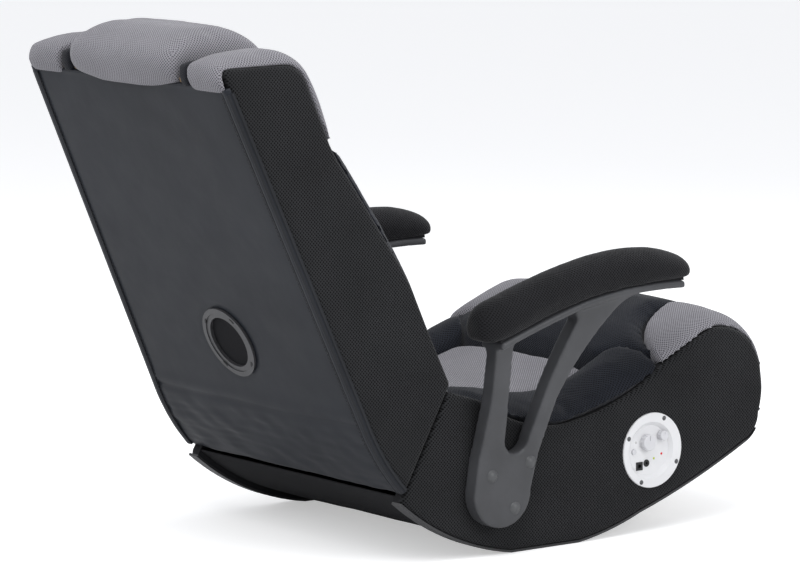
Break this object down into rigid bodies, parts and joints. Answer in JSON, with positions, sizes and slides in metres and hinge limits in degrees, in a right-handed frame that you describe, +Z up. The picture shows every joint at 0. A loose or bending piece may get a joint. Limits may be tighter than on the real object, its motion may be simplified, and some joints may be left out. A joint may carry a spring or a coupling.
{
  "type": "gaming rocker chair",
  "caption": "Floor rocker gaming chair: curved runner seat, forward-folding back with headrest and bass port, padded arms, side control panel.",
  "frame": {"origin": "centre of the footprint on the floor, midway between the front of the knee roll and the rear of the headrest", "axes": "+Z up, -Y the way the sitter faces, +X the sitter's left"},
  "size_m": [0.6124, 0.8968, 0.6829],
  "materials": {
    "side_mesh": "satin",
    "dark_mesh": "matte",
    "grey_mesh": "matte",
    "band_mesh": "matte",
    "under_cloth": "matte",
    "rear_vinyl": "satin",
    "piping_vinyl": "satin",
    "plywood": "matte",
    "edging_plastic": "satin",
    "bracket_plastic": "satin",
    "arm_mesh": "matte",
    "white_plastic": "semi-gloss",
    "knob_plastic": "semi-gloss",
    "button_plastic": "semi-gloss",
    "lamp_plastic": "gloss",
    "socket_plastic": "satin",
    "black_steel": "satin",
    "bright_steel": "satin",
    "amp_plastic": "matte",
    "circuit_board": "satin",
    "port_plastic": "semi-gloss",
    "grille_cloth": "matte",
    "speaker_plastic": "satin",
    "magnet_steel": "satin",
    "cone_paper": "matte"
  },
  "bodies": {
    "seat": {"seat_side_cover_left": "side_mesh", "seat_side_cover_right": "side_mesh", "seat_bolster_left": "dark_mesh", "seat_bolster_right": "dark_mesh", "knee_roll": "dark_mesh", "seat_centre_pad": "grey_mesh", "knee_corner_left": "grey_mesh", "knee_corner_right": "grey_mesh", "seat_bottom_cover": "under_cloth", "seat_side_panel_left": "plywood", "seat_side_panel_right": "plywood", "seat_front_rail": "plywood", "seat_rear_rail": "plywood", "seat_deck": "plywood", "knee_former": "plywood", "arm_pad_boards": "plywood", "runner_edging": "edging_plastic", "arm_bracket_left": "bracket_plastic", "arm_bracket_right": "bracket_plastic", "arm_pad_left": "arm_mesh", "arm_pad_right": "arm_mesh", "control_panel": "white_plastic", "indicator_lamps": "lamp_plastic", "audio_socket": "socket_plastic", "power_socket": "socket_plastic", "arm_bolts": "black_steel", "seat_screws": "black_steel", "arm_tee_nuts": "bright_steel", "hinge_seat_leaves": "bright_steel", "hinge_pins": "bright_steel", "amplifier_housing": "amp_plastic", "amplifier_board": "circuit_board"},
    "back": {"back_side_cover_left": "side_mesh", "back_side_cover_right": "side_mesh", "back_bolster_left": "dark_mesh", "back_bolster_right": "dark_mesh", "back_centre_pad": "grey_mesh", "top_roll_left": "grey_mesh", "top_roll_right": "grey_mesh", "headrest_roll": "grey_mesh", "headrest_bands": "band_mesh", "back_cover": "rear_vinyl", "back_edge_piping": "piping_vinyl", "back_side_panel_left": "plywood", "back_side_panel_right": "plywood", "back_board": "plywood", "back_front_board": "plywood", "back_top_rail": "plywood", "back_bottom_rail": "plywood", "port_screws": "black_steel", "hinge_back_leaves": "bright_steel", "port_ring": "port_plastic", "port_grille": "grille_cloth", "headrest_speakers": "speaker_plastic", "woofer_basket": "speaker_plastic", "woofer_magnet": "magnet_steel"},
    "volume_knob": {"volume_knob": "knob_plastic"},
    "bass_knob": {"bass_knob": "knob_plastic"},
    "power_button": {"power_button": "button_plastic"},
    "woofer_cone": {"woofer_cone": "cone_paper"}
  },
  "joints": [
    {"name": "back_fold", "type": "hinge", "parent": "seat", "child": "back", "pos_m": [0, 0.0929, 0.224], "axis": [1, 0, 0], "range_deg": [0, 100]},
    {"name": "volume_turn", "type": "hinge", "parent": "seat", "child": "volume_knob", "pos_m": [-0.24, -0.2301, 0.12], "axis": [1, 0, 0], "range_deg": [0, 300]},
    {"name": "bass_turn", "type": "hinge", "parent": "seat", "child": "bass_knob", "pos_m": [-0.24, -0.2551, 0.127], "axis": [1, 0, 0], "range_deg": [0, 300]},
    {"name": "power_press", "type": "slide", "parent": "seat", "child": "power_button", "axis": [1, 0, 0], "range_m": [0, 0.0015], "stiffness_N_per_m": 400},
    {"name": "cone_travel", "type": "slide", "parent": "back", "child": "woofer_cone", "axis": [0, -0.9107, 0.4131], "range_m": [-0.0025, 0.0025], "stiffness_N_per_m": 2000}
  ]
}
